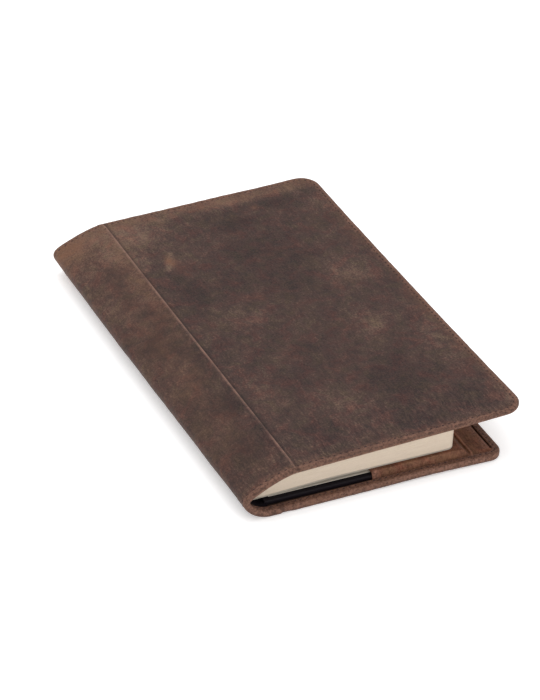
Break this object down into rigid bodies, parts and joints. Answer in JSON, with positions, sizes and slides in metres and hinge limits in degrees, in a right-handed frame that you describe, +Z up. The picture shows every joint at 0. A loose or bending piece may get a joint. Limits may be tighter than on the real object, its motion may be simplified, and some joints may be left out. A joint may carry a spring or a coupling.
{
  "type": "leather notebook cover",
  "caption": "Leather notebook cover with a spine strip, turned edges and inner sleeves that hold a bound notebook; opens flat like a book.",
  "frame": {"origin": "centre of the bounding box's footprint, on the table under the back cover", "axes": "+X from the spine to the fore-edge, +Y from the tail edge to the head edge, +Z up from the back cover to the front cover"},
  "size_m": [0.1423, 0.222, 0.0274],
  "materials": {
    "outer_leather": "worn waxed pull-up leather, matte, mottled dark brown with lighter rubbed edges",
    "sleeve_leather": "smooth brown lining leather, matte",
    "lining_cloth": "thin brown woven lining",
    "thread": "waxed dark red-brown sewing thread",
    "case_cloth": "black covered book board, satin",
    "endpaper": "pale grey-cream endpaper, matte",
    "page_paper": "cream page edges, matte"
  },
  "bodies": {
    "back_cover": {"back_panel": "outer_leather", "back_lining": "lining_cloth", "back_sleeve": "sleeve_leather", "back_stitching": "thread", "spine_strip_back": "outer_leather", "notebook_back_board": "case_cloth", "back_pastedown": "endpaper", "back_flyleaf": "endpaper", "lower_pages": "page_paper"},
    "spine": {"spine_strip_nose": "outer_leather", "spine_lining_nose": "lining_cloth", "notebook_spine": "case_cloth", "nose_stitching_tail": "thread", "nose_stitching_head": "thread"},
    "upper_spine": {"spine_strip_upper": "outer_leather", "spine_lining_upper": "lining_cloth", "upper_stitching_tail": "thread", "upper_stitching_head": "thread"},
    "front_cover": {"spine_strip_front": "outer_leather", "front_panel": "outer_leather", "front_lining": "lining_cloth", "front_sleeve": "sleeve_leather", "front_stitching": "thread", "notebook_front_board": "case_cloth", "front_pastedown": "endpaper"},
    "leaves": {"upper_pages": "page_paper", "front_flyleaf": "endpaper"}
  },
  "joints": [
    {"name": "back_fold", "type": "hinge", "parent": "back_cover", "child": "spine", "pos_m": [-0.06777, 0, 0.0032], "axis": [0, -1, 0], "range_deg": [0, 90]},
    {"name": "upper_fold", "type": "hinge", "parent": "spine", "child": "upper_spine", "pos_m": [-0.07026, 0, 0.01258], "axis": [0, -1, 0], "range_deg": [0, 64]},
    {"name": "front_fold", "type": "hinge", "parent": "upper_spine", "child": "front_cover", "pos_m": [-0.05146, 0, 0.0218], "axis": [0, -1, 0], "range_deg": [0, 24.02]},
    {"name": "page_turn", "type": "hinge", "parent": "back_cover", "child": "leaves", "pos_m": [-0.06062, 0, 0.01107], "axis": [0, -1, 0], "range_deg": [0, 178.02]}
  ],
  "couplings": [
    {"joint": "upper_fold", "follows": "back_fold", "ratio": 0.71111},
    {"joint": "front_fold", "follows": "back_fold", "ratio": 0.26684},
    {"joint": "page_turn", "follows": "back_fold", "ratio": 1.9779}
  ]
}
